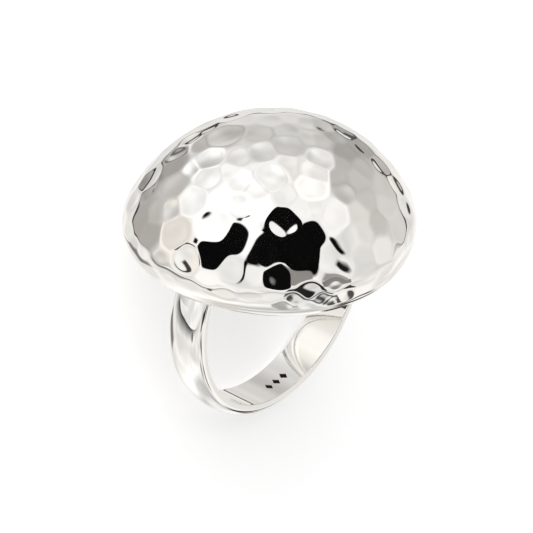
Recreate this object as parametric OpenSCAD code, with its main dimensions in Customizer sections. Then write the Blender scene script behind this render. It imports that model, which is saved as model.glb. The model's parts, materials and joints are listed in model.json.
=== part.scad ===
// A finger ring with a hollow hammered dome on a half-round band, in polished silver.
// It is drawn as it lies on a table by itself: on its side, touching with the dome's rim
// and with the far edge of the band. The origin is on the table under the middle of the ring.

/* [Dome] */
// Width across the dome at its widest line
dome_d = 24; // [20:0.5:30]
// Rise of the dome above its widest line
dome_h = 8.4; // [6.5:0.1:10.5]
// Radius of the rounded rim, from the widest line down to the flat back
rim_r = 2.6; // [1.8:0.1:3.2]
// Thickness of the sheet that the dome and its back are made of
sheet = 0.9; // [0.6:0.05:1.2]

/* [Hammer marks] */
// Distance from one hammer mark to the next, and from one ring of marks to the next
mark_pitch = 2.4; // [1.8:0.1:3.2]
// Width of the strip left standing between two marks
mark_gap = 0.2; // [0.15:0.05:0.6]
// Radius of the hammer's ball face
ball_r = 16; // [8:1:30]
// Width of the rounded rim above the widest line that the hammer leaves smooth
smooth_w = 0.4; // [0:0.1:2]

/* [Band] */
// Inner width of the band, where the finger goes through
finger_d = 19.6; // [16:0.2:21]
// Distance from the dome's widest line down to the middle of the band's circle
finger_drop = 6.6; // [5:0.1:9]
// Width of the band along the finger
band_w = 3.5; // [2.5:0.1:5]
// Thickness of the band at its two edges
band_edge = 0.75; // [0.5:0.05:1.2]
// Thickness of the band in the middle of its crown
band_mid = 1.2; // [0.95:0.05:1.9]

/* [Hidden] */
$fn = 96;

silver = [0.93, 0.92, 0.90];
// The dome's outline, turned about the ring's upright Z axis, is a circle of cap_r about
// [0, cap_z] that runs smoothly into the rim's circle about [rim_x, 0]
rim_x = dome_d / 2 - rim_r;
cap_r = (rim_x * rim_x + dome_h * dome_h - rim_r * rim_r) / (2 * (dome_h - rim_r));
cap_z = dome_h - cap_r;
// Slope of the line from the cap's centre through the rim's centre, where the circles meet
meet_a = atan2(-cap_z, rim_x);

// The band's section: flat inside, two thin side walls and a crown that is part of a circle
finger_r = finger_d / 2;
edge_r = finger_r + band_edge;
top_r = finger_r + band_mid;
crown_rise = band_mid - band_edge;
crown_r = (band_w * band_w / 4 + crown_rise * crown_rise) / (2 * crown_rise);
crown_a = asin(band_w / 2 / crown_r);

// The ring tips over from upright by rest_a, until the rim's lowest point and the lowest
// point of the band's edge are level:
// rim_x * sin(a) + rim_r = band_w / 2 * sin(a) + (finger_drop + edge_r) * cos(a)
reach_down = finger_drop + edge_r;
reach_side = rim_x - band_w / 2;
rest_a = acos(rim_r / norm([reach_down, reach_side])) - atan2(reach_side, reach_down);
rest_z = rim_x * sin(rest_a) + rim_r;

// How far a lying ring reaches to its front, where the dome is, and to its back. At the back
// it is the crown of the band, or its edge where the crown has already turned away
back_a = 90 - rest_a;
back_reach = back_a <= crown_a
    ? (top_r - crown_r) * cos(back_a) + crown_r
    : band_w / 2 * sin(back_a) + edge_r * cos(back_a);
rest_front = cap_z * sin(rest_a) + cap_r;
rest_back = finger_drop * sin(rest_a) + back_reach;

// Hammer marks stand in rings about the top of the dome. Angles are seen from the cap's
// centre: a mark's pitch, half its width, and the outermost ring that still fits
mark_w = mark_pitch - mark_gap;
pitch_a = mark_pitch / cap_r * 180 / PI;
mark_a = asin(mark_w / 2 / cap_r);
struck_a = 90 - meet_a - mark_a - smooth_w / cap_r * 180 / PI;
ring_count = floor(struck_a / pitch_a);
// The ball's centre stands this far from the cap's centre, and its face sinks this deep
ball_off = cap_r * cos(mark_a) + sqrt(ball_r * ball_r - mark_w * mark_w / 4);
mark_depth = cap_r - (ball_off - ball_r);

// Half of the dome's section, drawn inset by the given distance
module dome_section(inset) {
    far = 2 * dome_d;
    foot_z = inset - rim_r;
    line = [for (r = [-far, far]) [rim_x + r * cos(meet_a), r * sin(meet_a)]];
    // The spherical part, above the line on which the two circles meet
    intersection() {
        translate([0, cap_z]) circle(cap_r - inset);
        polygon([line[0], line[1], [line[1][0], far], [line[0][0], far]]);
        translate([0, foot_z]) square(far);
    }
    // The rounded rim, below that line
    intersection() {
        translate([rim_x, 0]) circle(rim_r - inset);
        polygon([[rim_x, 0], line[1], [line[1][0], -far], [rim_x, -far]]);
    }
    // What is left between them and the flat back
    intersection() {
        translate([0, foot_z]) square([rim_x, -foot_z]);
        polygon([line[0], line[1], [line[1][0], -far], [line[0][0], -far]]);
    }
}

module dome_body(inset) {
    rotate_extrude() dome_section(inset);
}

// The tip of the hammer's ball, no larger than the mark that it leaves
module ball_tip() {
    translate([0, 0, ball_off])
        rotate_extrude()
            intersection() {
                circle(ball_r);
                translate([0, -ball_r]) square([mark_w / 2 + mark_gap / 4, 2 * mark_depth]);
            }
}

module hammer_marks() {
    translate([0, 0, cap_z]) {
        ball_tip();
        for (ring = [1 : ring_count]) {
            tilt = ring * struck_a / ring_count;
            count = floor(360 * sin(tilt) / pitch_a);
            for (k = [0 : count - 1])
                rotate([0, tilt, (k + ring / 2) * 360 / count]) ball_tip();
        }
    }
}

// The hollow dome with its flat back
module dome() {
    difference() {
        dome_body(0);
        dome_body(sheet);
        hammer_marks();
    }
}

// The band, its two ends let halfway into the sheet of the dome's rim and back
module band() {
    difference() {
        translate([0, 0, -finger_drop])
            rotate([90, 0, 0])
                rotate_extrude()
                    intersection() {
                        translate([finger_r, -band_w / 2]) square([band_mid, band_w]);
                        translate([top_r - crown_r, 0]) circle(crown_r);
                    }
        dome_body(sheet / 2);
    }
}

// Lays the upright ring down: the dome then faces the front, -Y
module lay_down() {
    translate([0, (rest_front - rest_back) / 2, rest_z])
        rotate([0, 0, 180])
            rotate([-rest_a, 0, 0])
                children();
}

module dome_ring() {
    color(silver)
        lay_down()
            union() {
                dome();
                band();
            }
}

dome_ring();
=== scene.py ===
"""A finger ring with a hammered dome, lying on a pale table in soft studio light."""

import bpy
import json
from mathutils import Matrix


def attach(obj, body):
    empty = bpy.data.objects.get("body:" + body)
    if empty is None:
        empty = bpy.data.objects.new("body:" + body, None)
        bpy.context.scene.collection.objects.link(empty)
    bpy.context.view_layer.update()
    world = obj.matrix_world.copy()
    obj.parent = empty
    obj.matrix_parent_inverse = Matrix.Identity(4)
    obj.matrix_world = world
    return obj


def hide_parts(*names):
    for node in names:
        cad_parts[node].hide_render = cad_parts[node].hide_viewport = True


bl_info = {
    "name": "Dome Ring",
    "version": (1, 0, 0),
    "blender": (4, 5, 0),
    "location": "View3D > Sidebar > Dome Ring",
    "description": "Makes a silver dome ring and the pale table that it lies on",
    "category": "Add Mesh",
}

import json
import math
import random
from collections import namedtuple

import bmesh
import bpy
import numpy as np
from mathutils import Matrix, Vector, noise
from mathutils.bvhtree import BVHTree

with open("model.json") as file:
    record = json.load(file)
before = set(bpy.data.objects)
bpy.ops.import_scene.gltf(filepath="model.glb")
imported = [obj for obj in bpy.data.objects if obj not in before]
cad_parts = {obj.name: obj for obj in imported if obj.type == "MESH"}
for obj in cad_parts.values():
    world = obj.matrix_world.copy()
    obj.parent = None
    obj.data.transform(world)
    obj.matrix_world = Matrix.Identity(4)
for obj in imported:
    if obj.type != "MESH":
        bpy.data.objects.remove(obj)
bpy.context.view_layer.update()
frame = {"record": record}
SEAT = next(m for m in frame["record"]["mounts"] if m["name"] == "finger_rest")
SILVER_TONE = next(m for m in frame["record"]["materials"] if m["slot"] == "silver")["base_color"]

MM = 0.001
PHOTO_PX = 533
# Points that are nearer to each other than this become one
MERGE = 0.001 * MM

# Rings of faces over the cap and over the rim, and faces round the dome. The outside of the sheet
# is fine and its inside coarse. So is the dome that only serves to aim at the marks
OUTER_RINGS = (140, 62)
INNER_RINGS = (14, 8)
DOME_STEPS = 436
AIMING_RINGS = (40, 16)
AIMING_STEPS = 96
# The same for the back sheet, over its flat part and over its rounded edge
BACK_RINGS = (24, 6)
BACK_STEPS = 160
# Faces along each part of half the band's section, and round the band
FLAT_PARTS = 17
FOOT_PARTS = 4
WALL_PARTS = 4
CROWN_PARTS = 28
BAND_STEPS = 720
# How deep the hidden ends of the pieces reach into the back sheet, as a share of its thickness
HIDDEN_SHARE = 0.6

# The hammering fades in over this distance above the groove
SEAM_FADE = 0.35 * MM
# Half the width of a mark on the rim, as a share of what its width says. A small ball leaves its
# full width there, because it follows the rim's own roundness
RIM_HALF_SHARE = 0.40
SMALL_BALL = 7.5 * MM
# The marks that do not show: how many are tried, how far above the groove they stay, as an angle,
# how small and large their balls are beside the usual one, and how far a blow leans
TRIES = 6000
SEAM_MARGIN = 0.10
BALL_SPREAD = (0.75, 1.4)
BLOW_LEAN = 0.035
# A ball presses only what faces its middle at least this much. What it misses lies far outside it
LEAST_FACING = 0.3
MISSED = -1.0

# The silver's finish: the scale of the rubbed places and where they begin and are full, their
# warmer tone, the scuffs, and the dark of the punched marks
WEAR_SCALE = 180.0
WEAR_LIMITS = (0.50, 0.75)
WARMTH = (0.985, 0.965, 0.925)
SCUFF_SCALE = 2600.0
SCUFF_STRENGTH = 0.02
SCUFF_HEIGHT = 0.02 * MM
PATINA_TONE = (0.012, 0.011, 0.010, 1)
PATINA_ROUGHNESS = 0.4

# Hammer marks as they show in the picture: across and down in its pixels, and the width in pixels.
# Some have a fourth number, the radius of the ball in millimetres, where it is not the usual one.
# A mark 2 pixels wide leaves nothing, and only keeps a place smooth
SEEN_MARKS = [
    # The far edge, from left to right
    (177, 153, 24), (191, 137, 26), (207, 127, 24), (225, 134, 42, 9), (241, 119, 26),
    (258, 133, 28), (272, 120, 26), (287, 130, 24), (290, 118, 22), (306, 123, 24),
    (322, 126, 28), (345, 133, 28, 8.5), (363, 148, 26), (381, 166, 28), (396, 184, 28),
    (405, 205, 26),
    # The upper part of the face
    (174, 166, 24, 20), (210, 157, 32, 8.5), (239, 157, 25, 8.5), (262, 151, 29, 8.5),
    (289, 144, 33, 8.5), (305, 139, 18), (322, 141, 24, 20), (344, 151, 26, 25),
    (320, 158, 30, 8.5), (288, 163, 20), (363, 168, 28, 25), (343, 163, 20, 25),
    (208, 178, 28, 9), (230, 171, 20), (240, 182, 26, 9), (272, 177, 35, 9), (314, 171, 30),
    (291, 171, 18), (340, 176, 24, 16), (358, 180, 26, 25), (382, 183, 28, 30), (312, 186, 32),
    (346, 191, 28, 16), (367, 196, 24, 25),
    # The left side
    (149, 178, 38, 8), (174, 187, 34, 26), (157, 213, 28, 25), (139, 222, 24, 25), (192, 202, 34),
    (150, 235, 26, 25), (134, 246, 22, 25), (175, 235, 34, 16), (143, 257, 26), (160, 262, 26),
    (186, 263, 30), (168, 282, 24),
    # The middle
    (220, 203, 26), (240, 205, 24), (257, 190, 26), (261, 208, 18, 13), (285, 195, 22),
    (213, 226, 36), (235, 240, 26, 22), (212, 256, 26, 18), (251, 246, 14, 20),
    (284, 223, 32, 9.5), (267, 254, 28, 25), (299, 251, 36, 16), (313, 233, 22), (301, 207, 20),
    (317, 204, 20), (336, 212, 30, 16),
    # The right side and the near edge
    (359, 211, 26, 25), (387, 203, 30, 30), (380, 221, 26, 30), (399, 226, 26, 30),
    (366, 230, 24, 30), (340, 242, 2), (330, 222, 14), (352, 236, 16, 30), (364, 252, 24, 30),
    (384, 246, 26, 30), (398, 247, 22, 30), (328, 254, 14, 30), (345, 263, 2), (366, 270, 24, 30),
    (386, 266, 24, 30), (279, 278, 24), (300, 274, 20, 30), (253, 274, 2), (231, 272, 21),
    (206, 283, 22), (190, 290, 20), (225, 296, 22), (250, 297, 20, 20), (274, 298, 20, 20),
    (362, 286, 20, 30),
    # The rough spot near the edge
    (336, 283, 26), (309, 290, 18, 7), (320, 297, 14, 5), (346, 293, 15, 6), (333, 299, 13, 5),
    (296, 299, 15, 6), (308, 305, 12, 5), (284, 306, 13, 6), (380, 284, 18), (358, 296, 12, 6),
]

# What the studio holds, as a plain mirror ball would show it: across and down in the picture's
# pixels, half width and half height, lean in degrees, soft edges across and down, and colour.
# A soft edge down of 0 stands for rounded corners. Later ones cover earlier ones
Card = namedtuple("Card", "across down half_wide half_high lean soft_across soft_down tone")
# The rounding of such corners: 2 would make an oval, and a large number a sharp corner
CORNER_POWER = 2.8
TENT_SIDES = [
    # The strip of pale wall above the far horizon
    (265, 108, 120, 20, 0, 40, 12, (0.81, 0.80, 0.78)),
    # The walls grow paler towards the right and towards the bottom
    (372, 200, 44, 60, 0, 26, 40, (0.61, 0.59, 0.57)),
    (395, 287, 85, 62, 0, 40, 42, (0.84, 0.83, 0.81)),
    (268, 305, 102, 74, 0, 24, 24, (0.99, 0.98, 0.96)),
    # Darker places high on the left and on the right, and paler ones between them
    (148, 173, 17, 19, 20, 9, 11, (0.31, 0.30, 0.29)),
    (158, 215, 26, 34, -8, 14, 14, (0.56, 0.54, 0.525)),
    (350, 140, 30, 16, -40, 12, 10, (0.47, 0.46, 0.44)),
    (280, 136, 50, 10, 0, 16, 7, (0.68, 0.67, 0.65)),
    (190, 137, 8, 13, 0, 6, 7, (0.85, 0.84, 0.82)),
]
STUDIO_CARDS = [
    # The soft box overhead, with a brighter middle and greyer corners
    (261, 198, 74, 47, 0, 9, 14, (1.02, 1.02, 1.01)),
    (258, 216, 58, 28, 0, 26, 28, (1.20, 1.20, 1.20)),
    (308, 168, 17, 10, -10, 9, 8, (0.80, 0.79, 0.78)),
    (184, 160, 7, 8, 0, 6, 6, (0.50, 0.49, 0.475)),
    (188, 203, 14, 16, -20, 8, 10, (1.05, 1.05, 1.05)),
    (338, 218, 12, 17, -28, 9, 11, (0.96, 0.95, 0.94)),
    # Thin dark strips high up, which show at the edges of the upper marks
    (335, 129.5, 14, 1.6, -24, 2, 1, (0.10, 0.10, 0.10)),
    (176, 154, 9, 1.2, 25, 2, 1, (0.15, 0.15, 0.15)),
    # The cream card on the left, with a dark slot
    (177, 241, 17, 28, -10, 4, 4, (0.95, 0.905, 0.855)),
    (188, 253, 10, 2.5, -52, 2, 1, (0.05, 0.05, 0.05)),
    # The black stands in front, with a grey one between them
    (288, 230.5, 15.5, 15.5, 45, 1, 1, (0.003, 0.003, 0.003)),
    (284, 245, 18, 18, 0, 1, 0, (0.003, 0.003, 0.003)),
    (311, 251, 13.5, 27, -3, 1, 0, (0.003, 0.003, 0.003)),
    (265, 250, 21, 8, 55, 1, 0, (0.004, 0.004, 0.004)),
    (247, 271, 12, 3.6, 62, 1, 0, (0.004, 0.004, 0.004)),
    (243, 219, 2.6, 5.5, -20, 1, 0, (0.02, 0.02, 0.02)),
    (252, 213, 4.5, 1.8, 20, 1, 0, (0.03, 0.03, 0.03)),
    (205, 338, 4, 6, 20, 1, 0, (0.12, 0.12, 0.12)),
    (280, 281, 11.5, 12, 20, 1, 0, (0.004, 0.004, 0.004)),
    (224, 249, 26, 11, 38, 1, 0, (0.003, 0.003, 0.003)),
    (201, 244, 3.5, 5, -20, 1, 0, (0.01, 0.01, 0.01)),
    (340, 242, 10, 3.4, -49, 1, 0, (0.005, 0.005, 0.005)),
    (344, 263, 8, 2.6, -34, 1, 0, (0.01, 0.01, 0.01)),
    (299, 277, 12, 6.5, -22, 1, 0, (0.27, 0.26, 0.25)),
    # Dark and grey places low in front, which show only in the rim and in the marks next to it
    (312, 308, 24, 7, -14, 1, 2, (0.02, 0.02, 0.02)),
    (340, 292, 15, 8, 10, 1, 1, (0.26, 0.25, 0.24)),
    (337, 281, 11, 6, -15, 2, 2, (0.40, 0.385, 0.37)),
    (322, 331, 16, 6, 10, 2, 2, (0.03, 0.03, 0.03)),
    (298, 335, 10, 8, 0, 2, 2, (0.12, 0.12, 0.12)),
    (352, 322, 8, 12, 25, 1, 2, (0.04, 0.04, 0.04)),
    (319, 352, 16, 5, -8, 3, 4, (0.08, 0.08, 0.08)),
    (290, 376, 12, 8, 10, 4, 5, (0.40, 0.40, 0.39)),
    (338, 366, 9, 7, 20, 2, 3, (0.10, 0.10, 0.10)),
    # A dark thing on the left, and painted shadow of the ring under the rim and under the band
    (127, 299, 7, 28, 18, 3, 6, (0.24, 0.235, 0.23)),
    (256, 397, 62, 14, 4, 14, 8, (0.73, 0.72, 0.70)),
    (354, 387, 30, 6, 35, 8, 4, (0.02, 0.02, 0.019)),
    (327, 415, 14, 4.5, 20, 4, 3, (0.03, 0.03, 0.029)),
    (306, 402, 26, 7, 8, 10, 6, (0.58, 0.57, 0.56)),
]
WALL_TONE = (0.49, 0.47, 0.455)
GROUND_TONE = (0.97, 0.955, 0.93)
FAR_GROUND_TONE = (0.84, 0.83, 0.81)
# The white sheet under the ring, as an oval in the same measures, and its dark edge
SHEET = (232, 262, 80, 71)
SHEET_TONE = (1.02, 1.01, 0.99)
SHEET_EDGE_TONE = (0.004, 0.004, 0.004)
UNDER_TONE = (1.12, 1.11, 1.09)
HORIZON_TONE = (0.06, 0.06, 0.06)
HORIZON_RISE = -0.07
# The soft edge between ground and wall, the dark line along it from its outside to where it is
# full, and the places down the picture between which that line grows
HORIZON_SOFT = 0.004
HORIZON_LINE = (0.026, 0.016)
HORIZON_SHOWS = (262.0, 232.0)
# The rise of a ray where the ground begins to turn to its far tone and has turned, and the same
# for its tone under the ring
FAR_GROUND_RISE = (-0.45, 0.0)
UNDER_RISE = (-0.70, -0.88)
# The sheet's border, as shares of its size. Its dark edge begins below the first pair of places
# down the picture, ends at the second pair, across, and grows broader and darker towards the
# third pair, across
SHEET_BORDER = (1.005, 0.99)
EDGE_BEGINS = (262.0, 280.0)
EDGE_ENDS = (300.0, 284.0)
EDGE_GROWS = (235.0, 195.0)
EDGE_REACH = 1.05
EDGE_REACH_MORE = 0.16
EDGE_DARK = 0.4
EDGE_DARK_MORE = 0.6
# Wide folds in the studio's cloth: their scale, where they begin and end, and how they shade it
FOLD_SCALE = 3.0
FOLD_LIMITS = (0.35, 0.65)
FOLD_SHADES = (0.84, 1.12)
# The way to the soft lamp as right, up and back from the camera, and where its light begins
LAMP_WAY = (0.0, 0.75, 0.66)
LAMP_BEGINS = 0.45


def length(name, description, millimetres):
    """A size that a user can change."""
    return bpy.props.FloatProperty(name=name, description=description, default=millimetres * MM,
                                   min=0.0, precision=5, subtype="DISTANCE", unit="LENGTH")


def turn(name, description, degrees):
    """An angle that a user can change."""
    return bpy.props.FloatProperty(name=name, description=description, default=math.radians(degrees),
                                   subtype="ANGLE", unit="ROTATION")


def share(name, description, value):
    """A plain number that a user can change."""
    return bpy.props.FloatProperty(name=name, description=description, default=value, min=0.0)


class RingSizes(bpy.types.PropertyGroup):
    """Sizes of the ring"""

    dome_width: length("Dome width", "Width across the dome at its widest line", 24)
    dome_rise: length("Dome rise", "Rise of the dome above its widest line", 8.4)
    rim_radius: length("Rim radius", "Radius of the rounded rim", 2.6)
    sheet: length("Sheet", "Thickness of the dome's sheet and of its back", 0.9)
    saddle: length("Saddle", "How far the rim is bent up at the band's ends and down between them", 0.37)
    seam_width: length("Seam width", "Width of the fine groove where the hammering ends", 0.10)
    seam_depth: length("Seam depth", "Depth of that groove", 0.035)
    seam_fall: turn("Seam fall", "How far below level the rim faces at the groove", 27)
    opening_width: length("Opening width", "Inner width of the band", 19.6)
    band_drop: length("Band drop", "From the dome's widest line to the middle of the band's circle", 6.6)
    band_width: length("Band width", "Width of the band along the finger", 3.5)
    band_wall: length("Band wall", "Height of the flat wall on either side of the band", 0.35)
    band_middle: length("Band middle", "Thickness of the band in the middle", 1.2)
    band_full: share("Band fullness", "2 makes the band's crown an ellipse, and more a fuller one", 2.3)
    band_bevel: length("Band bevel", "Width of the rubbed edges of the band", 0.06)
    punch_along: length("Punch length", "Length of a punched lozenge round the band", 0.66)
    punch_across: length("Punch width", "Width of a punched lozenge across the band", 0.90)
    punch_pitch: length("Punch pitch", "From one punched lozenge to the next", 0.92)
    punch_depth: length("Punch depth", "Depth of the punched lozenges", 0.08)


class HammerWork(bpy.types.PropertyGroup):
    """How the dome is struck"""

    ball: length("Ball", "Radius of the hammer's face", 10)
    least_width: length("Least width", "Width of the smallest hammer mark", 1.7)
    most_width: length("Most width", "Width of the largest hammer mark", 2.6)
    spacing: length("Spacing", "Least distance between two marks", 1.75)
    ridge: length("Ridge", "Softness of the ridges between the marks", 0.028)
    swell: length("Swell", "How far the sheet swells and sinks over several marks", 0.07)
    swell_size: length("Swell size", "Size of those swells", 5.5)
    ripple: length("Ripple", "Height of the fine unevenness left by the hammer", 0.006)
    ripple_size: length("Ripple size", "Size of that unevenness", 1.3)
    seed: bpy.props.IntProperty(name="Seed", description="Picks the marks that do not show", default=5)


class RingLook(bpy.types.PropertyGroup):
    """The finish of the silver"""

    silver: bpy.props.FloatVectorProperty(name="Silver", description="Colour of the polished silver",
                                          size=3, subtype="COLOR", min=0, max=1,
                                          default=SILVER_TONE)
    polish: share("Polish", "Roughness of the polished silver", 0.025)
    haze: share("Haze", "Roughness of the rubbed places", 0.06)


class StageLook(bpy.types.PropertyGroup):
    """The camera and the studio"""

    view_turn: turn("View turn", "How far the camera stands to the left of the ring's front", 49.76)
    view_rise: turn("View rise", "How far the camera stands above the rim of the dome", 33.08)
    view_distance: length("View distance",
                          "From the camera to the middle of the dome's widest line", 360)
    focal: share("Focal length", "Focal length in pixels of the picture", 4430)
    ring_across: share("Ring across", "Where the middle of the ring lies in the picture, across", 269.3)
    ring_down: share("Ring down", "Where the middle of the ring lies in the picture, down", 219.2)
    light: share("Light", "Brightness of the studio that the silver mirrors", 0.96)
    table_light: share("Table light", "Brightness of the even light that falls on the table", 0.14)
    lamp_light: share("Lamp light", "Brightness of the soft lamp over the table", 1.68)
    table_glow: share("Table glow", "Brightness of the light that comes up through the table", 0.53)
    table_tone: share("Table tone", "Paleness of the table", 0.92)


def sizes():
    """The ring's sizes as they stand in the panel."""
    return bpy.context.scene.ring_sizes


def hidden_level(s):
    """The height inside the back sheet where the hidden ends of the pieces stop."""
    return -s.rim_radius + s.sheet * HIDDEN_SHARE


class Dome:
    """The smooth form of the dome, before it is struck. Its Z axis is the dome's own."""

    def __init__(self, s):
        self.rim_r = s.rim_radius
        self.rim_x = s.dome_width / 2 - s.rim_radius
        self.cap_r = ((self.rim_x**2 + s.dome_rise**2 - s.rim_radius**2)
                      / (2 * (s.dome_rise - s.rim_radius)))
        self.cap_z = s.dome_rise - self.cap_r
        self.meet = math.atan2(-self.cap_z, self.rim_x)

    def section(self, inset, cap_rings, rim_rings):
        """Points from the top of the dome to the foot of its rim, drawn inset by a distance."""
        points = []
        for k in range(cap_rings):
            rise = math.pi / 2 + (self.meet - math.pi / 2) * k / cap_rings
            reach = self.cap_r - inset
            points.append((reach * math.cos(rise), self.cap_z + reach * math.sin(rise)))
        for k in range(rim_rings + 1):
            rise = self.meet + (-math.pi / 2 - self.meet) * k / rim_rings
            reach = self.rim_r - inset
            points.append((self.rim_x + reach * math.cos(rise), reach * math.sin(rise)))
        points[0] = (0.0, points[0][1])
        return points

    def normals(self, points):
        """The way that the smooth surface faces at points of it, an array of rows."""
        out = np.hypot(points[:, 0], points[:, 1])
        flat = points[:, :2] / np.maximum(out, 1e-9)[:, None]
        from_cap = points - (0, 0, self.cap_z)
        from_rim = points - np.column_stack([self.rim_x * flat, np.zeros(len(points))])
        on_cap = np.arctan2(from_cap[:, 2], out) > self.meet
        way = np.where(on_cap[:, None], from_cap, from_rim)
        return way / np.linalg.norm(way, axis=1)[:, None]

    def point(self, normal):
        """The point where the smooth surface faces a given way."""
        if normal.z > math.sin(self.meet):
            return Vector((0, 0, self.cap_z)) + self.cap_r * normal
        flat = Vector((normal.x, normal.y, 0)).normalized()
        return self.rim_x * flat + self.rim_r * normal


def band_section(s):
    """The band's closed section as (distance from its axis, place across it): flat inside, a thin
    wall on either side, and a round crown."""
    inner = s.opening_width / 2
    half = s.band_width / 2
    flat = [(inner, (half - s.band_bevel) * k / FLAT_PARTS) for k in range(FLAT_PARTS + 1)]
    foot = [(inner + s.band_bevel * (1 - math.cos(a)), half - s.band_bevel * (1 - math.sin(a)))
            for a in np.linspace(0, math.pi / 2, FOOT_PARTS + 1)[1:]]
    wall = [(inner + s.band_bevel + (s.band_wall - s.band_bevel) * k / WALL_PARTS, half)
            for k in range(1, WALL_PARTS + 1)]
    power = 2 / s.band_full
    crown = [(inner + s.band_wall + (s.band_middle - s.band_wall) * math.sin(a) ** power,
              half * math.cos(a) ** power)
             for a in (math.pi / 2 * k / CROWN_PARTS for k in range(1, CROWN_PARTS))]
    upper = flat + foot + wall + crown + [(inner + s.band_middle, 0)]
    lower = [(r, -y) for r, y in upper[-2:0:-1]]
    return upper + lower + [upper[0]]


def ring_place():
    """Takes the ring's own axes (X across the band, Z out of the dome) to where it lies."""
    s = sizes()
    up = -Vector(SEAT["axis"])
    across = Vector((-1, 0, 0))
    along = up.cross(across)
    middle = Vector(SEAT["pos_m"]) + up * s.rim_radius
    place = Matrix((across, along, up)).transposed().to_4x4()
    place.translation = middle
    # The bent rim reaches lower than a level one, and the rounded band less low than a sharp
    # one, so the ring leans until both touch the table
    far_rim = place @ Vector((0, s.dome_width / 2 - s.rim_radius, 0))
    far_band = min((place @ Vector((0, y, -s.band_drop - r)) for r, y in band_section(s)),
                   key=lambda point: point.z)
    share_out = (s.dome_width / 2 - s.rim_radius * (1 + along.z)) / (s.dome_width / 2)
    drop = s.saddle * share_out**2 * up.z
    lean = Matrix.Rotation(-(drop + far_band.z) / (far_band.y - far_rim.y), 4, "X")
    foot = Matrix.Translation((0, far_band.y, far_band.z))
    return Matrix.Translation((0, 0, -far_band.z)) @ foot @ lean @ foot.inverted() @ place


def camera_axes():
    """The camera's place, and the ways right, up and back from it, where the ring lies."""
    stage = bpy.context.scene.stage_look
    place = ring_place()
    turned = -stage.view_turn
    rise = stage.view_rise
    back = place.to_3x3() @ Vector((math.sin(turned) * math.cos(rise),
                                    -math.cos(turned) * math.cos(rise), math.sin(rise)))
    right = (place.to_3x3() @ Vector((0, 0, 1))).cross(back).normalized()
    up = back.cross(right)
    middle = place.translation
    eye = middle + back * stage.view_distance
    pixel = stage.view_distance / stage.focal
    aim = (middle + right * (PHOTO_PX / 2 - stage.ring_across) * pixel
           - up * (PHOTO_PX / 2 - stage.ring_down) * pixel)
    back = (eye - aim).normalized()
    right = up.cross(back).normalized()
    return eye, right, back.cross(right), back


def camera_ray(across, down):
    """The way from the camera through a pixel of the picture."""
    eye, right, up, back = camera_axes()
    focal = bpy.context.scene.stage_look.focal
    middle = PHOTO_PX / 2
    return (right * (across - middle) + up * (middle - down) - back * focal).normalized()


def saddle(points):
    """Bends the dome's rim up at the band's ends and down between them."""
    s = sizes()
    shares = points[:, :2] / (s.dome_width / 2)
    points[:, 2] += s.saddle * (shares[:, 0] ** 2 - shares[:, 1] ** 2)


def vertices(mesh):
    """The places of a mesh's vertices, an array of rows."""
    points = np.empty(len(mesh.vertices) * 3)
    mesh.vertices.foreach_get("co", points)
    return points.reshape(-1, 3)


def spun(bm, section, axis, steps):
    """Spins a section a quarter turn about an axis through the origin, and mirrors it twice."""
    points = [bm.verts.new(p) for p in section]
    lines = [bm.edges.new(pair) for pair in zip(points, points[1:])]
    bmesh.ops.spin(bm, geom=points + lines, cent=(0, 0, 0), axis=axis, dvec=(0, 0, 0),
                   angle=math.pi / 2, steps=steps // 4, use_merge=False, use_duplicate=False)
    for name, part in zip("XYZ", axis):
        if not part:
            bmesh.ops.mirror(bm, geom=bm.verts[:] + bm.edges[:] + bm.faces[:], axis=name,
                             matrix=Matrix.Identity(4), merge_dist=MERGE)
    bmesh.ops.remove_doubles(bm, verts=bm.verts, dist=MERGE)
    bmesh.ops.recalc_face_normals(bm, faces=bm.faces)


def finish_piece(name, mesh, material):
    """Puts a finished mesh in the scene, in place of the plain ring."""
    mesh.transform(ring_place())
    mesh.polygons.foreach_set("use_smooth", [True] * len(mesh.polygons))
    mesh.materials.append(material)
    mesh.update()
    piece = bpy.data.objects.new(name, mesh)
    bpy.context.scene.collection.objects.link(piece)
    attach(piece, "root")
    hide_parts("dome_ring")
    return piece


class Signal:
    """A value on its way through a node tree: sums and products of values add Math nodes."""

    def __init__(self, bench, socket):
        self.bench = bench
        self.socket = socket

    def maths(self, operation, *values):
        return self.bench.add("ShaderNodeMath", {"operation": operation}, dict(enumerate(values)))

    def __add__(self, other):
        return self.maths("ADD", self, other)

    def __sub__(self, other):
        return self.maths("SUBTRACT", self, other)

    def __rsub__(self, other):
        return self.maths("SUBTRACT", other, self)

    def __mul__(self, other):
        return self.maths("MULTIPLY", self, other)

    def __truediv__(self, other):
        return self.maths("DIVIDE", self, other)

    __radd__ = __add__
    __rmul__ = __mul__


class Bench:
    """A node tree that is being built."""

    def __init__(self, tree):
        self.tree = tree
        tree.nodes.clear()

    def add(self, kind, settings, values, output=0):
        """Adds a node with its settings, and the values or links of its sockets."""
        node = self.tree.nodes.new(kind)
        for key, value in settings.items():
            setattr(node, key, value)
        for key, value in values.items():
            if isinstance(value, Signal):
                self.tree.links.new(value.socket, node.inputs[key])
            else:
                node.inputs[key].default_value = value
        return Signal(self, node.outputs[output]) if node.outputs else None

    def ramp(self, value, nought, full, smooth=False):
        """Runs from 0, where a value is at the first limit, to 1, where it is at the second."""
        settings = {"interpolation_type": "SMOOTHSTEP"} if smooth else {}
        limits = {"Value": value, "From Min": nought, "From Max": full}
        return self.add("ShaderNodeMapRange", settings, limits)

    def noise(self, place, scale, detail):
        """An even cloud of values from 0 to 1."""
        return self.add("ShaderNodeTexNoise", {},
                        {"Vector": place, "Scale": scale, "Detail": detail}, "Fac")

    def cover(self, under, mask, over):
        """One colour laid over another where a mask is 1."""
        return self.add("ShaderNodeMix", {"data_type": "RGBA"},
                        {"Factor": mask, 6: under, 7: over}, 2)


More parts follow.
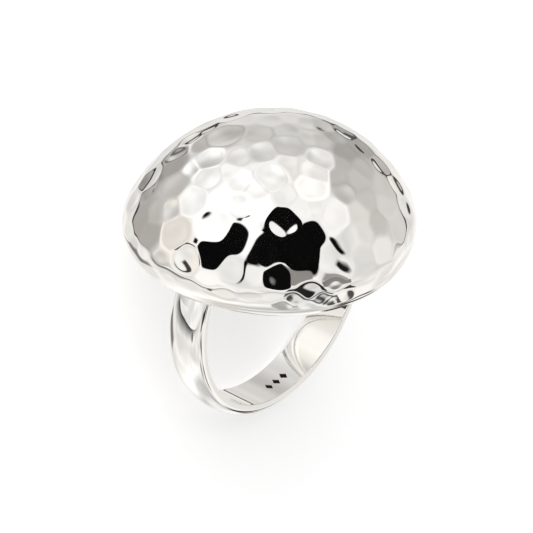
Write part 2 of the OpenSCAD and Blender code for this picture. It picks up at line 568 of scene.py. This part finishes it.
def silver_material(name, patina):
    """Polished silver with fine wear. The attribute patina blackens the punched marks."""
    look = bpy.context.scene.ring_look
    material = bpy.data.materials.new(name)
    material.use_nodes = True
    bench = Bench(material.node_tree)
    place = bench.add("ShaderNodeTexCoord", {}, {}, "Object")
    cloud = bench.noise(place, WEAR_SCALE, 4.0)
    scuffs = bench.noise(place, SCUFF_SCALE, 2.0)
    worn = bench.ramp(cloud, *WEAR_LIMITS, smooth=True)
    rough = look.polish + worn * (look.haze - look.polish)
    warm = tuple(tone * warmth for tone, warmth in zip(look.silver, WARMTH))
    colour = bench.cover((*look.silver, 1), worn, (*warm, 1))
    if patina:
        dark = bench.add("ShaderNodeAttribute", {"attribute_name": patina}, {}, "Fac")
        colour = bench.cover(colour, dark, PATINA_TONE)
        rough = rough + dark * PATINA_ROUGHNESS
    bump = bench.add("ShaderNodeBump", {},
                     {"Strength": SCUFF_STRENGTH, "Distance": SCUFF_HEIGHT, "Height": scuffs})
    shader = bench.add("ShaderNodeBsdfPrincipled", {},
                       {"Base Color": colour, "Metallic": 1.0, "Roughness": rough, "Normal": bump})
    bench.add("ShaderNodeOutputMaterial", {}, {"Surface": shader})
    return material


def struck_normals(dome):
    """The hammer marks: the way each faces, its width, and the radius of the ball that struck it.
    The ones that show come first."""
    work = bpy.context.scene.hammer_work
    place = ring_place()
    eye = camera_axes()[0]
    bm = bmesh.new()
    spun(bm, [(r, 0, z) for r, z in dome.section(0, *AIMING_RINGS)], (0, 0, 1), AIMING_STEPS)
    bmesh.ops.transform(bm, matrix=place, verts=bm.verts)
    tree = BVHTree.FromBMesh(bm)
    bm.free()
    pixel = bpy.context.scene.stage_look.view_distance / bpy.context.scene.stage_look.focal
    marks = []
    chance = random.Random(work.seed)
    for across, down, wide, *ball in SEEN_MARKS:
        hit = tree.ray_cast(eye, camera_ray(across, down))[0]
        if hit is None:
            raise RuntimeError(f"no dome behind the mark at {across}, {down}")
        normal = Vector(dome.normals(np.array([place.inverted() @ hit]))[0])
        marks.append((normal, wide * pixel, ball[0] * MM if ball else work.ball))
    lowest = math.sin(-sizes().seam_fall + SEAM_MARGIN)
    for _ in range(TRIES):
        rise = chance.uniform(lowest, 1)
        about = chance.uniform(0, 2 * math.pi)
        flat = math.sqrt(1 - rise * rise)
        normal = Vector((flat * math.cos(about), flat * math.sin(about), rise))
        point = dome.point(normal)
        if all((point - dome.point(other)).length > work.spacing for other, *_ in marks):
            marks.append((normal, chance.uniform(work.least_width, work.most_width),
                          work.ball * chance.uniform(*BALL_SPREAD)))
    return marks


def strike(dome, points, normals):
    """How deep the hammer has pressed each point of the smooth dome."""
    work = bpy.context.scene.hammer_work
    chance = random.Random(work.seed + 1)
    pressed = np.ones(len(points))
    for number, (normal, wide, ball) in enumerate(struck_normals(dome)):
        on_cap = normal.z > math.sin(dome.meet)
        small_ball = ball < SMALL_BALL
        half = wide / 2 if on_cap or small_ball else wide * RIM_HALF_SHARE
        bend = dome.rim_r if small_ball and not on_cap else dome.cap_r
        depth = half * half / 2 * (1 / ball + 1 / bend)
        lean = Vector([chance.gauss(0, BLOW_LEAN) for _ in range(3)]) * (number >= len(SEEN_MARKS))
        way = (normal + lean).normalized()
        middle = np.array(dome.point(normal) + (ball * way) - normal * depth)
        gap = middle - points
        far = np.linalg.norm(gap, axis=1)
        facing = (gap * normals).sum(1) / far
        deep = np.where(facing > LEAST_FACING, (ball - far) / np.maximum(facing, LEAST_FACING), MISSED)
        # Within these limits the power stays a number
        pressed += np.exp(np.clip(deep / work.ridge, -50, 500))
    return work.ridge * np.log(pressed)


class RING_OT_dome(bpy.types.Operator):
    """Makes the hollow hammered dome with its smooth rim"""

    bl_idname = "ring.dome"
    bl_label = "Hammered Dome"

    def execute(self, context):
        s = sizes()
        work = context.scene.hammer_work
        dome = Dome(s)
        outer = dome.section(0, *OUTER_RINGS)
        inner = dome.section(s.sheet, *INNER_RINGS)
        bm = bmesh.new()
        spun(bm, [(r, 0, z) for r, z in outer + inner[::-1]], (0, 0, 1), DOME_STEPS)
        mesh = bpy.data.meshes.new("hammered_dome")
        bm.to_mesh(mesh)
        bm.free()
        points = vertices(mesh)
        normals = dome.normals(points)
        smooth = np.linalg.norm(points - (0, 0, dome.cap_z), axis=1)
        on_rim = np.hypot(np.hypot(points[:, 0], points[:, 1]) - dome.rim_x, points[:, 2])
        outside = np.where(normals[:, 2] > math.sin(dome.meet), smooth > dome.cap_r - s.sheet / 2,
                           on_rim > dome.rim_r - s.sheet / 2)
        skin = points[outside]
        faces = normals[outside]
        fall = np.arcsin(np.clip(faces[:, 2], -1, 1))
        edge = (fall + s.seam_fall) * dome.rim_r
        kept = np.clip(edge / SEAM_FADE, 0, 1)
        deep = strike(dome, skin, faces) * kept
        swell = np.array([noise.noise(Vector(p) / work.swell_size) * work.swell
                          + noise.noise(Vector(p) / work.ripple_size) * work.ripple
                          for p in skin]) * kept
        seam = s.seam_depth * np.exp(-((edge / s.seam_width) ** 2))
        points[outside] -= faces * (deep - swell + seam)[:, None]
        saddle(points)
        mesh.vertices.foreach_set("co", points.ravel())
        finish_piece("hammered_dome", mesh, silver_material("hammered silver", None))
        return {"FINISHED"}


class RING_OT_back(bpy.types.Operator):
    """Makes the flat sheet that closes the dome from below"""

    bl_idname = "ring.back"
    bl_label = "Back Sheet"

    def execute(self, context):
        s = sizes()
        reach = s.dome_width / 2 - s.rim_radius
        proud = 0.02 * MM
        round_edge = 0.15 * MM
        flat_rings, edge_rings = BACK_RINGS
        foot = -s.rim_radius - proud
        section = [(0, 0, foot)]
        for k in range(flat_rings):
            section.append((reach * (k + 1) / flat_rings - round_edge, 0, foot))
        for k in range(1, edge_rings + 1):
            a = math.pi / 2 * k / edge_rings
            section.append((reach - round_edge + round_edge * math.sin(a), 0,
                            foot + round_edge * (1 - math.cos(a))))
        section.append((reach, 0, hidden_level(s)))
        section.append((0, 0, hidden_level(s)))
        bm = bmesh.new()
        spun(bm, section, (0, 0, 1), BACK_STEPS)
        mesh = bpy.data.meshes.new("back_sheet")
        bm.to_mesh(mesh)
        bm.free()
        points = vertices(mesh)
        saddle(points)
        mesh.vertices.foreach_set("co", points.ravel())
        finish_piece("back_sheet", mesh, silver_material("back silver", None))
        return {"FINISHED"}


class RING_OT_band(bpy.types.Operator):
    """Makes the half-round band with its three punched marks"""

    bl_idname = "ring.band"
    bl_label = "Band"

    def punch(self, bm, s):
        """Presses three lozenges into the inside of the band, and marks them as dark."""
        inner = s.opening_width / 2
        # Where the middle lozenge stands, round the band and across it
        middle = 0.65 * MM
        off_middle = 0.2 * MM
        reach = 2 * s.punch_pitch
        # How near to the inner wall a point lies on it, and how wide a lozenge's slope is beside it
        nearness = 0.01 * MM
        slope = 0.08

        def spot(vert):
            below = -vert.co.z - s.band_drop
            out = math.hypot(vert.co.x, below) - inner
            return out, math.atan2(vert.co.x, below) * inner, vert.co.y

        def near(vert):
            out, along, across = spot(vert)
            return (abs(out) < nearness and abs(along - middle) < reach
                    and abs(across) < s.punch_across)

        dark = bm.verts.layers.float.new("patina")
        faces = [face for face in bm.faces if all(near(vert) for vert in face.verts)]
        edges = dict.fromkeys(edge for face in faces for edge in face.edges)
        bmesh.ops.subdivide_edges(bm, edges=list(edges), cuts=5, use_grid_fill=True)
        for vert in bm.verts:
            if not near(vert):
                continue
            out, along, across = spot(vert)
            step = (along - middle) / s.punch_pitch
            off = abs(step - max(-1, min(1, round(step)))) * s.punch_pitch
            off_across = abs(across + off_middle)
            inside = 1 - off / (s.punch_along / 2) - off_across / (s.punch_across / 2)
            deep = max(0.0, min(1.0, inside / slope))
            away = Vector((vert.co.x, 0, vert.co.z + s.band_drop)).normalized()
            vert.co += away * (deep * s.punch_depth - out)
            vert[dark] = deep

    def execute(self, context):
        s = sizes()
        section = band_section(s)
        bm = bmesh.new()
        spun(bm, [(r, y, 0) for r, y in section], (0, 1, 0), BAND_STEPS)
        bmesh.ops.translate(bm, vec=(0, 0, -s.band_drop), verts=bm.verts)
        cut = bmesh.ops.bisect_plane(bm, geom=bm.verts[:] + bm.edges[:] + bm.faces[:],
                                     plane_co=(0, 0, hidden_level(s)), plane_no=(0, 0, 1),
                                     clear_outer=True)
        ends = [e for e in cut["geom_cut"] if isinstance(e, bmesh.types.BMEdge)]
        bmesh.ops.holes_fill(bm, edges=ends, sides=0)
        bmesh.ops.recalc_face_normals(bm, faces=bm.faces)
        self.punch(bm, s)
        mesh = bpy.data.meshes.new("band")
        bm.to_mesh(mesh)
        bm.free()
        finish_piece("band", mesh, silver_material("band silver", "patina"))
        return {"FINISHED"}


def card_mask(bench, across, down, card):
    """1 where the smooth dome mirrors a card of the studio, 0 beside it."""
    lean = math.radians(card.lean)
    off_across = across - card.across
    off_down = down - card.down
    level = off_across * math.cos(lean) - off_down * math.sin(lean)
    upright = off_across * math.sin(lean) + off_down * math.cos(lean)
    if not card.soft_down:
        parts = [off.maths("POWER", off.maths("ABSOLUTE", off / half), CORNER_POWER)
                 for off, half in ((level, card.half_wide), (upright, card.half_high))]
        out = level.maths("POWER", parts[0] + parts[1], 1 / CORNER_POWER)
        soft = card.soft_across / min(card.half_wide, card.half_high)
        return bench.ramp(out, 1 + soft, 1 - soft)
    mask = 1.0
    for off, half, soft in ((level, card.half_wide, card.soft_across),
                            (upright, card.half_high, card.soft_down)):
        away = off.maths("ABSOLUTE", off)
        mask = bench.ramp(away, half + soft, half - soft, smooth=True) * mask
    return mask


class RING_OT_stage(bpy.types.Operator):
    """Makes the camera, the pale table and the studio's soft light"""

    bl_idname = "ring.stage"
    bl_label = "Stage"

    def execute(self, context):
        self.make_camera(context)
        self.make_table(context)
        self.make_light(context)
        return {"FINISHED"}

    def make_camera(self, context):
        """Places the camera where the picture was taken from."""
        look = context.scene.stage_look
        eye, right, up, back = camera_axes()
        lens = bpy.data.cameras.new("camera")
        lens.sensor_width = 36
        lens.lens = look.focal / PHOTO_PX * lens.sensor_width
        lens.clip_start = 0.01
        camera = bpy.data.objects.new("camera", lens)
        turned = Matrix((right, up, back)).transposed().to_4x4()
        camera.matrix_world = Matrix.Translation(eye) @ turned
        context.scene.collection.objects.link(camera)
        context.scene.camera = camera

    def make_table(self, context):
        """A wide pale table, which the silver does not mirror."""
        look = context.scene.stage_look
        bm = bmesh.new()
        bmesh.ops.create_grid(bm, x_segments=1, y_segments=1, size=2.0)
        mesh = bpy.data.meshes.new("table")
        bm.to_mesh(mesh)
        bm.free()
        table = bpy.data.objects.new("table", mesh)
        table.visible_glossy = False
        context.scene.collection.objects.link(table)
        material = bpy.data.materials.new("pale table")
        material.use_nodes = True
        bench = Bench(material.node_tree)
        tone = look.table_tone
        shader = bench.add("ShaderNodeBsdfPrincipled", {},
                           {"Base Color": (tone, tone, tone, 1), "Roughness": 1.0,
                            "Specular IOR Level": 0.0, "Emission Color": (1, 1, 1, 1),
                            "Emission Strength": look.table_glow})
        bench.add("ShaderNodeOutputMaterial", {}, {"Surface": shader})
        mesh.materials.append(material)

    def make_light(self, context):
        """The silver mirrors the studio, and the table lies in plain white light."""
        look = context.scene.stage_look
        world = bpy.data.worlds.new("studio")
        world.use_nodes = True
        context.scene.world = world
        context.scene.view_settings.view_transform = "Standard"
        bench = Bench(world.node_tree)

        def along(way, direction):
            return bench.add("ShaderNodeVectorMath", {"operation": "DOT_PRODUCT"},
                             {0: direction, 1: tuple(way)}, "Value")

        right, up, back = camera_axes()[1:]
        direction = bench.add("ShaderNodeTexCoord", {}, {}, "Generated")
        between = bench.add("ShaderNodeVectorMath", {"operation": "ADD"},
                            {0: direction, 1: tuple(back)}, "Vector")
        facing = bench.add("ShaderNodeVectorMath", {"operation": "NORMALIZE"}, {0: between}, "Vector")
        dome = Dome(sizes())
        pixel = look.view_distance / look.focal
        ball = dome.cap_r / pixel
        middle_down = look.ring_down - dome.cap_z * math.cos(look.view_rise) / pixel
        across = look.ring_across + along(right, facing) * ball
        down = middle_down - along(up, facing) * ball
        rise = along(ring_place().to_3x3() @ Vector((0, 0, 1)), direction)
        ground = bench.ramp(rise, HORIZON_RISE + HORIZON_SOFT, HORIZON_RISE - HORIZON_SOFT)
        horizon = bench.ramp(rise.maths("ABSOLUTE", rise - HORIZON_RISE), *HORIZON_LINE)
        horizon = horizon * bench.ramp(down, *HORIZON_SHOWS)
        folds = bench.noise(direction, FOLD_SCALE, 1.0)
        folds = bench.add("ShaderNodeMapRange", {},
                          {"Value": folds, "From Min": FOLD_LIMITS[0], "From Max": FOLD_LIMITS[1],
                           "To Min": FOLD_SHADES[0], "To Max": FOLD_SHADES[1]})

        def hang(shade, cards):
            for card in map(Card._make, cards):
                shade = bench.cover(shade, card_mask(bench, across, down, card), (*card.tone, 1))
            return shade

        shade = hang((*WALL_TONE, 1), TENT_SIDES)
        far_ground = bench.ramp(rise, *FAR_GROUND_RISE, smooth=True)
        floor = bench.cover((*GROUND_TONE, 1), far_ground, (*FAR_GROUND_TONE, 1))
        under = bench.ramp(rise, *UNDER_RISE, smooth=True)
        floor = bench.cover(floor, under, (*UNDER_TONE, 1))
        out_across = (across - SHEET[0]) / SHEET[2]
        out_down = (down - SHEET[1]) / SHEET[3]
        out = out_across.maths("SQRT", out_across * out_across + out_down * out_down)
        broad = bench.ramp(across, *EDGE_GROWS)
        edge = bench.ramp(out, broad * EDGE_REACH_MORE + EDGE_REACH, 1.0)
        edge = edge * (broad * EDGE_DARK_MORE + EDGE_DARK)
        edge = edge * bench.ramp(down, *EDGE_BEGINS) * bench.ramp(across, *EDGE_ENDS)
        floor = bench.cover(floor, edge, (*SHEET_EDGE_TONE, 1))
        floor = bench.cover(floor, bench.ramp(out, *SHEET_BORDER), (*SHEET_TONE, 1))
        shade = bench.cover(shade, ground, floor)
        shade = bench.cover(shade, horizon, (*HORIZON_TONE, 1))
        shade = hang(shade, STUDIO_CARDS)
        studio = bench.add("ShaderNodeBackground", {}, {"Color": shade, "Strength": folds * look.light})
        lamp = Vector(LAMP_WAY).normalized()
        toward = along(right * lamp.x + up * lamp.y + back * lamp.z, direction)
        lamp_light = bench.ramp(toward, LAMP_BEGINS, 1.0, smooth=True) * look.lamp_light
        plain = bench.add("ShaderNodeBackground", {},
                          {"Color": (1, 1, 1, 1), "Strength": lamp_light + look.table_light})
        mirrored = bench.add("ShaderNodeLightPath", {}, {}, "Is Glossy Ray")
        mixed = bench.add("ShaderNodeMixShader", {}, {0: mirrored, 1: plain, 2: studio})
        bench.add("ShaderNodeOutputWorld", {}, {"Surface": mixed})


class RING_PT_panel(bpy.types.Panel):
    """Lists the pieces of the ring"""

    bl_label = "Dome Ring"
    bl_space_type = "VIEW_3D"
    bl_region_type = "UI"
    bl_category = "Dome Ring"

    def draw(self, context):
        for operator in OPERATORS:
            self.layout.operator(operator.bl_idname)
        for group in GROUPS:
            box = self.layout.box()
            for key in GROUPS[group].__annotations__:
                box.prop(getattr(context.scene, group), key)


OPERATORS = (RING_OT_stage, RING_OT_dome, RING_OT_back, RING_OT_band)
GROUPS = {"ring_sizes": RingSizes, "hammer_work": HammerWork, "ring_look": RingLook,
          "stage_look": StageLook}


def register():
    for cls in (*GROUPS.values(), *OPERATORS, RING_PT_panel):
        bpy.utils.register_class(cls)
    for name, group in GROUPS.items():
        setattr(bpy.types.Scene, name, bpy.props.PointerProperty(type=group))


def unregister():
    for name in GROUPS:
        delattr(bpy.types.Scene, name)
    for cls in reversed((*GROUPS.values(), *OPERATORS, RING_PT_panel)):
        bpy.utils.unregister_class(cls)


def main():
    register()
    bpy.ops.ring.stage()
    bpy.ops.ring.dome()
    bpy.ops.ring.back()
    bpy.ops.ring.band()


if __name__ == "__main__":
    main()
